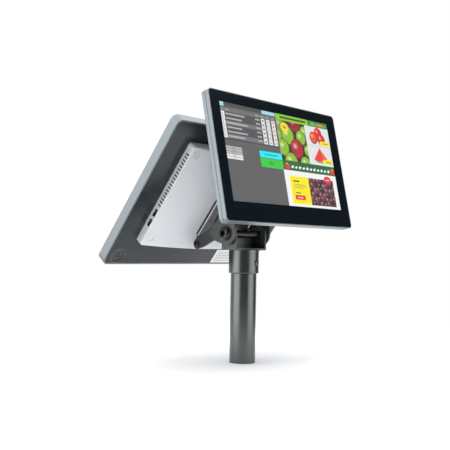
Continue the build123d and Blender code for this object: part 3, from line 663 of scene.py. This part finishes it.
class Picture:
    """Closed flat tiles with a colour at each corner, in millimetres from the picture's top left.

    A tile's level is the layer that its face is on, and inside is an area that cuts it off: its
    left, top, right and bottom.
    """

    def __init__(self, width, height):
        self.width, self.height = width, height
        self.points, self.faces, self.colours = [], [], []

    def tile(self, outline, colour, level, middle=None):
        """A thin prism. middle is the colour at its centre, where it isn't the same all over."""
        first, count = len(self.points), len(outline)
        xs, ys = [p[0] for p in outline], [p[1] for p in outline]
        centre = (sum(xs) / count, sum(ys) / count)
        for layer in (level - 1, level):
            for x, y in [*outline, centre]:
                place = ((x - self.width / 2) * MM, (self.height / 2 - y) * MM)
                self.points.append((*place, layer * LAYER))
        low, high = first, first + count + 1
        for i in range(count):
            j = (i + 1) % count
            self.faces += [(high + j, high + i, high + count), (low + i, low + j, low + count)]
            self.faces += [(low + j, low + i, high + i, high + j)]
        self.colours += 2 * ([colour] * count + [middle or colour])

    def bar(self, x, y, width, height, colour, level):
        """An upright rectangle, from its top left corner."""
        right, bottom = x + width, y + height
        self.tile([(x, y), (right, y), (right, bottom), (x, bottom)], colour, level)

    def field(self, area, colour, level):
        """A rectangle that fills an area."""
        left, top, right, bottom = area
        self.bar(left, top, right - left, bottom - top, colour, level)

    def round(self, x, y, across, down, colour, level, inside=None, middle=None, steps=28):
        """An oval about a middle, with its half width and half height."""
        outline = []
        for step in range(steps):
            angle = 2 * pi * step / steps
            px, py = x + across * cos(angle), y + down * sin(angle)
            if inside:
                left, top, right, bottom = inside
                px, py = min(max(px, left), right), min(max(py, top), bottom)
            outline.append((px, py))
        self.tile(outline, colour, level, middle)

    def fruit(self, x, y, radius, skin, level, inside):
        """A round fruit: dark rim, coloured skin and a pale shine up on its left."""
        rim = [c * 0.08 for c in skin]
        shine = [min(1.0, c * 0.9 + 0.45) for c in skin]
        # Each oval: how far left and up it lies and its half width and height, all in radii, its
        # colour, how many layers it is raised, and the colour of its middle.
        for left, up, across, down, colour, rise, middle in (
            (0.0, 0.0, 1.0, 1.0, rim, 0.0, skin),
            (0.06, 0.08, 0.86, 0.86, skin, 0.4, None),
            (0.28, 0.30, 0.42, 0.36, skin, 0.8, shine),
        ):
            middle_x, middle_y = x - radius * left, y - radius * up
            half_width, half_height = radius * across, radius * down
            self.round(
                middle_x, middle_y, half_width, half_height, colour, level + rise, inside, middle
            )

    def finish(self, name, screen, panel_half, body, glow):
        """The piece, on the front of a panel that is that far from its middle."""
        piece = mesh_object(name, self.points, self.faces, glow)
        paint = piece.data.color_attributes.new("tint", "FLOAT_COLOR", "POINT")
        for place, colour in zip(paint.data, self.colours):
            place.color = (*colour, 1)
        return on_body(piece, screen @ Matrix.Translation((0, 0, panel_half)), body)


def glowing(name):
    """A lit picture: it shows the colour held in the piece's own tint attribute."""
    material, tree, output = new_material(name)
    tint = add_node(tree, "ShaderNodeAttribute", attribute_name="tint")
    surface = add_node(
        tree,
        "ShaderNodeBsdfPrincipled",
        base_color=(0.01, 0.01, 0.01, 1),
        roughness=0.6,
        emission_strength=1.0,
    )
    tree.links.new(tint.outputs["Color"], surface.inputs["Emission Color"])
    tree.links.new(surface.outputs[0], output.inputs["Surface"])
    return material


def grey(level):
    return (level, level, level)


WHITE = grey(0.93)
CHALK = grey(0.82)
SLATE = (0.17, 0.18, 0.21)
COAL = grey(0.075)
SKY = (0.38, 0.72, 0.85)
CYAN = (0.0, 0.85, 0.95)
GREEN = (0.03, 0.62, 0.04)
DEEP_GREEN = (0.01, 0.25, 0.02)
LIME = (0.27, 0.62, 0.02)
BOTTLE = (0.006, 0.13, 0.035)
APPLE = (0.28, 0.52, 0.02)
YELLOW = (1.0, 0.85, 0.0)
POSTER_RED = (0.85, 0.01, 0.04)
TOMATO = (0.85, 0.012, 0.01)
PLUM = (0.13, 0.035, 0.05)
picture_glow = glowing("picture_glow")
basket = Picture(*CUSTOMER_PICTURE)
basket.bar(0, 0, *CUSTOMER_PICTURE, grey(0.105), 1)

# The basket's head: a title bar with two pale fields, and the heading of each column, with its
# left edge and width.
LIST_WIDTH = 121
HEADINGS = ((2, 5), (11, 9), (76, 8), (88, 7), (99.5, 7), (113, 5))
basket.bar(0, 0, 123.5, 6, grey(0.07), 2)
basket.bar(0.5, 0.4, 9.5, 6, SKY, 3)
basket.bar(92, 0.6, 30.5, 5.4, SKY, 3)
basket.bar(0, 7.6, LIST_WIDTH, 6.2, grey(0.16), 2)
for left, wide in HEADINGS:
    basket.bar(left, 10, wide, 1.6, grey(0.42), 3)

# Its rows: a number, a name, a price and three small keys.
ROW_COUNT, ROW_PITCH, ROW_TOP = 6, 6.55, 14.0
ROW_KEYS = ((88, grey(0.10)), (99.6, grey(0.45)), (111.6, (0.80, 0.15, 0.15)))
for row in range(ROW_COUNT):
    top = ROW_TOP + row * ROW_PITCH
    name_width = 40 - 9 * (row % 2) + 2 * (row % 3)
    basket.bar(0, top, LIST_WIDTH, ROW_PITCH - 0.5, SLATE if row % 3 == 2 else COAL, 2)
    basket.bar(11.5, top + 2.0, name_width, 2.0, grey(0.50), 3)
    basket.bar(75, top + 2.0, 9.5, 2.0, grey(0.50), 3)
    basket.bar(0.8, top, 8.6, ROW_PITCH - 0.4, CHALK, 3)
    basket.bar(4, top + 1.8, 2.2, 2.4, grey(0.45), 4)
    for left, mark in ROW_KEYS:
        basket.bar(left, top, 8.2, ROW_PITCH - 0.2, CHALK, 3)
        basket.round(left + 4.1, top + 3.1, 2.2, 1.3, mark, 4)

# Its foot: the totals on the left, and a cyan and a green key on the right.
TOTAL_TOP, TOTAL_PITCH = 64.6, 3.85
KEY_LEFT, KEY_WIDTH = 73.5, 50.5
basket.bar(0, 54, 122.5, 1.6, grey(0.05), 2)
basket.bar(0, 56, 122.5, 2.6, grey(0.12), 2)
for line in range(5):
    shade = 0.85 if line > 2 else 0.5
    top = TOTAL_TOP + TOTAL_PITCH * line
    basket.bar(0.8, top, 34.6, 3.2, grey(shade), 3)
    basket.bar(14, top + 1.0, 8, 1.2, grey(shade * 0.6), 4)
basket.bar(KEY_LEFT, 64.2, KEY_WIDTH, 9.8, CYAN, 3)
basket.bar(84, 68, 30, 1.8, (0.0, 0.35, 0.42), 4)
basket.bar(KEY_LEFT, 75, KEY_WIDTH, 13.5, GREEN, 3)
basket.bar(93, 79, 8, 1.5, DEEP_GREEN, 4)
basket.bar(91, 82, 12, 1.5, DEEP_GREEN, 4)

# The offers' head: a green strip with a dark rule, and a carrot with three leaves.
basket.bar(124, 0, 132.1, 144, WHITE, 2)
basket.bar(124, 0, 80, 9.6, LIME, 3)
basket.bar(134, 3.2, 64, 3.2, (0.03, 0.10, 0.02), 4)
basket.bar(204, 0, 52.1, 9.6, (0.02, 0.28, 0.07), 3)
carrot = [(227, 5), (231, 2.8), (240, 3.2), (252, 5.6), (240, 7.2), (231, 7)]
basket.tile(carrot, (0.95, 0.20, 0.01), 4)
for lift in (-2.2, 0.2, 2.4):
    leaf = [(228, 5), (214, 3.6 + lift), (209, 4.4 + lift), (215, 5.4 + lift)]
    basket.tile(leaf, APPLE, 4)

# A heap of green and red apples, back to front: middle, radius, skin and level of each. A yellow
# star with a round spot lies on it.
APPLES = (124.2, 9.6, 193.5, 73)
basket.field(APPLES, (0.012, 0.014, 0.010), 3)
for x, y, radius, skin, level in (
    (131, 18, 13, (0.22, 0.34, 0.04), 4),
    (169, 12, 16, (0.32, 0.01, 0.02), 4),
    (191, 24, 12, APPLE, 4),
    (125, 34, 9, APPLE, 4),
    (180, 33.5, 13, APPLE, 5),
    (147.5, 33.5, 16.5, APPLE, 5),
    (193, 53, 10, APPLE, 5),
    (133, 53.5, 14.5, APPLE, 6),
    (166.5, 53, 17, (0.45, 0.012, 0.03), 6),
    (148, 76, 17, APPLE, 6.5),
    (183, 76, 14, APPLE, 6.5),
):
    basket.fruit(x, y, radius, skin, level, APPLES)
STAR_X, STAR_Y, STAR_POINTS, STAR_SQUASH = 142, 20, 14, 0.78
STAR_TIP, STAR_NOTCH = 11.0, 8.6
star = []
for corner in range(2 * STAR_POINTS):
    reach = STAR_TIP if corner % 2 else STAR_NOTCH
    angle = pi * corner / STAR_POINTS
    star.append((STAR_X + reach * cos(angle), STAR_Y + reach * STAR_SQUASH * sin(angle)))
basket.tile(star, (0.95, 0.72, 0.02), 8.5)
basket.round(STAR_X, STAR_Y, 4.6, 2.6, (0.55, 0.38, 0.0), 9.3)

# Tomatoes over a wedge of melon, each with a rounded yellow price tag.
SHELF = (194.5, 9.6, 256.1, 73)
TAG_LEFT, TAG_RIGHT, TAG_HALF = 232, 252, 3.6
basket.field(SHELF, (0.79, 0.80, 0.83), 3)
basket.bar(194.5, 41, 61.6, 0.8, (0.55, 0.57, 0.6), 4)
basket.fruit(227, 19.5, 9.6, TOMATO, 4, SHELF)
basket.fruit(213.5, 28, 10.2, (0.90, 0.09, 0.01), 5, SHELF)
basket.fruit(233.5, 29.5, 10.0, TOMATO, 5, SHELF)
basket.round(224, 62, 17.5, 7.2, (0.10, 0.35, 0.05), 4)
basket.round(224, 61, 17.0, 6.4, (0.85, 0.75, 0.6), 5)
wedge = [(224.5, 44), (241.5, 61), (232, 66), (218, 67.4), (207.5, 64)]
basket.tile(wedge, (0.85, 0.045, 0.04), 6)
basket.tile(wedge[:3], (0.95, 0.10, 0.08), 6.5)
for tag_y in (35.5, 66.2):
    basket.bar(TAG_LEFT, tag_y - TAG_HALF, TAG_RIGHT - TAG_LEFT, 2 * TAG_HALF, YELLOW, 6.8)
    for tag_x in (TAG_LEFT, TAG_RIGHT):
        basket.round(tag_x, tag_y, TAG_HALF, TAG_HALF, YELLOW, 6.9, SHELF)
    basket.bar(237, tag_y - 0.8, 13, 1.8, (0.35, 0.25, 0.0), 7.6)

# A dark green strip with a row of white leaves between two berries.
LEAF_COUNT, LEAF_FIRST, LEAF_PITCH, LEAF_HALF = 11, 147, 9.2, 4
basket.bar(124.2, 73, 131.9, 15, BOTTLE, 3)
for berry in (134.5, 250):
    basket.round(berry, 82, 6.2, 4.6, (0.80, 0.02, 0.02), 4)
    basket.round(berry, 77.8, 3.6, 1.5, APPLE, 5)
for number in range(LEAF_COUNT):
    x = LEAF_FIRST + number * LEAF_PITCH
    leaf = [(x - LEAF_HALF, 83), (x, 79 + number % 2), (x + LEAF_HALF, 81), (x, 84.5)]
    basket.tile(leaf, WHITE, 4)

# The last offer: a yellow poster with plain rules and a red button, and a box of plums.
POSTER_MARGIN = 143
basket.bar(135.5, 96.5, 46, 43, YELLOW, 4)
basket.bar(POSTER_MARGIN, 103, 14.5, 2.2, BOTTLE, 5)
for line, wide in enumerate((29, 31, 22)):
    basket.bar(POSTER_MARGIN, 108.6 + 2.6 * line, wide, 1.0, (0.45, 0.40, 0.05), 5)
basket.bar(145, 121.4, 12, 1.6, BOTTLE, 5)
basket.bar(142.7, 125.6, 24.5, 7.2, POSTER_RED, 5)
basket.bar(148, 128.6, 13, 1.6, (0.95, 0.65, 0.6), 6)
PLUMS = (181.5, 96.5, 246, 139.5)
PLUM_ACROSS, PLUM_DOWN, PLUM_RADIUS = 9.6, 7.4, 5.4
basket.field(PLUMS, (0.010, 0.006, 0.010), 4)
for row in range(6):
    for column in range(7):
        sway = sin(3.1 * row + 1.7 * column)
        skin = [c * (1.1 + 0.7 * sin(2.3 * row + 4.1 * column)) for c in PLUM]
        x = 185.5 + column * PLUM_ACROSS + 3.6 * (row % 2) + 1.6 * sway
        y = 99.5 + row * PLUM_DOWN + 1.4 * sway
        level = 5 + 0.5 * ((row + column) % 2)
        basket.fruit(x, y, PLUM_RADIUS + 0.9 * sway, skin, level, PLUMS)
basket.round(232, 96.5, 9.6, 6.2, POSTER_RED, 7)
basket.bar(227, 95.6, 10, 1.8, (0.95, 0.6, 0.6), 8)
basket.finish(
    "customer_picture", customer_screen, CUSTOMER_PANEL_HALF, "customer_display", picture_glow
)

# ------------------------------------------------------------------ operator picture
# What the touchscreen shows the till's operator: a basket list, a number pad and a grid of plain
# coloured keys, without any lettering.
MAIN_PANEL_HALF = 0.0008
NIGHT, STEEL_BLUE = (0.012, 0.03, 0.055), (0.30, 0.33, 0.36)
KEY_COLOURS = [
    (0.02, 0.20, 0.42),
    (0.42, 0.12, 0.02),
    (0.05, 0.30, 0.08),
    (0.35, 0.26, 0.02),
    (0.22, 0.05, 0.26),
]
till = Picture(*MAIN_PICTURE)
till.bar(0, 0, *MAIN_PICTURE, (0.055, 0.065, 0.075), 1)
till.bar(0, 0, MAIN_PICTURE[0], 13, NIGHT, 2)
till.bar(4, 4, 34, 5, SKY, 3)
till.bar(262, 4, 38, 5, STEEL_BLUE, 3)

# The basket list, with the total under it.
TILL_LEFT, TILL_WIDTH = 4, 136
TILL_ROWS, TILL_PITCH = 11, 10.6
till.bar(TILL_LEFT, 17, TILL_WIDTH, 128, WHITE, 2)
till.bar(TILL_LEFT, 17, TILL_WIDTH, 9, (0.16, 0.20, 0.25), 3)
for row in range(TILL_ROWS):
    top = 27 + row * TILL_PITCH
    till.bar(TILL_LEFT, top, TILL_WIDTH, 9.8, grey(0.86) if row % 2 else (0.72, 0.76, 0.80), 3)
    till.bar(9, top + 4, 34 + 13 * ((row * 5) % 4), 2, grey(0.12), 4)
    till.bar(116, top + 4, 18, 2, grey(0.12), 4)
till.bar(TILL_LEFT, 148, TILL_WIDTH, 13, NIGHT, 2)
till.bar(98, 152, 36, 5, YELLOW, 3)

# The number pad and its two large keys.
PAD_PITCH_X, PAD_PITCH_Y = 30, 15.2
for row in range(4):
    for column in range(3):
        left, top = TILL_LEFT + column * PAD_PITCH_X, 165 + row * PAD_PITCH_Y
        till.bar(left, top, 28, 13.4, STEEL_BLUE, 2)
        till.round(left + 14, top + 6.7, 2.6, 2.6, (0.75, 0.78, 0.80), 3)
till.bar(95, 165, 45, 28.6, CYAN, 2)
till.bar(95, 195.4, 45, 28.6, GREEN, 2)

# The grid of goods: on each key a bright top edge, a round fruit and a plain rule.
KEY_PITCH_X, KEY_PITCH_Y = 31.4, 34.6
for row in range(6):
    for column in range(5):
        left, top = 145 + column * KEY_PITCH_X, 17 + row * KEY_PITCH_Y
        colour = KEY_COLOURS[(row * 2 + column) % len(KEY_COLOURS)]
        bright = [min(1, 2.2 * c) for c in colour]
        skin = [min(1, 0.08 + 1.8 * c) for c in colour]
        till.bar(left, top, 29.4, 32.4, colour, 2)
        till.bar(left, top, 29.4, 1.2, bright, 3)
        till.fruit(left + 14.7, top + 13.5, 6.4, skin, 4, (left, top, left + 29, top + 30))
        till.bar(left + 5, top + 25.5, 19.4, 2, grey(0.8), 3)
to_operator = main_screen @ Matrix.Rotation(pi, 4, "Y")
till.finish("operator_picture", to_operator, MAIN_PANEL_HALF, "terminal", picture_glow)
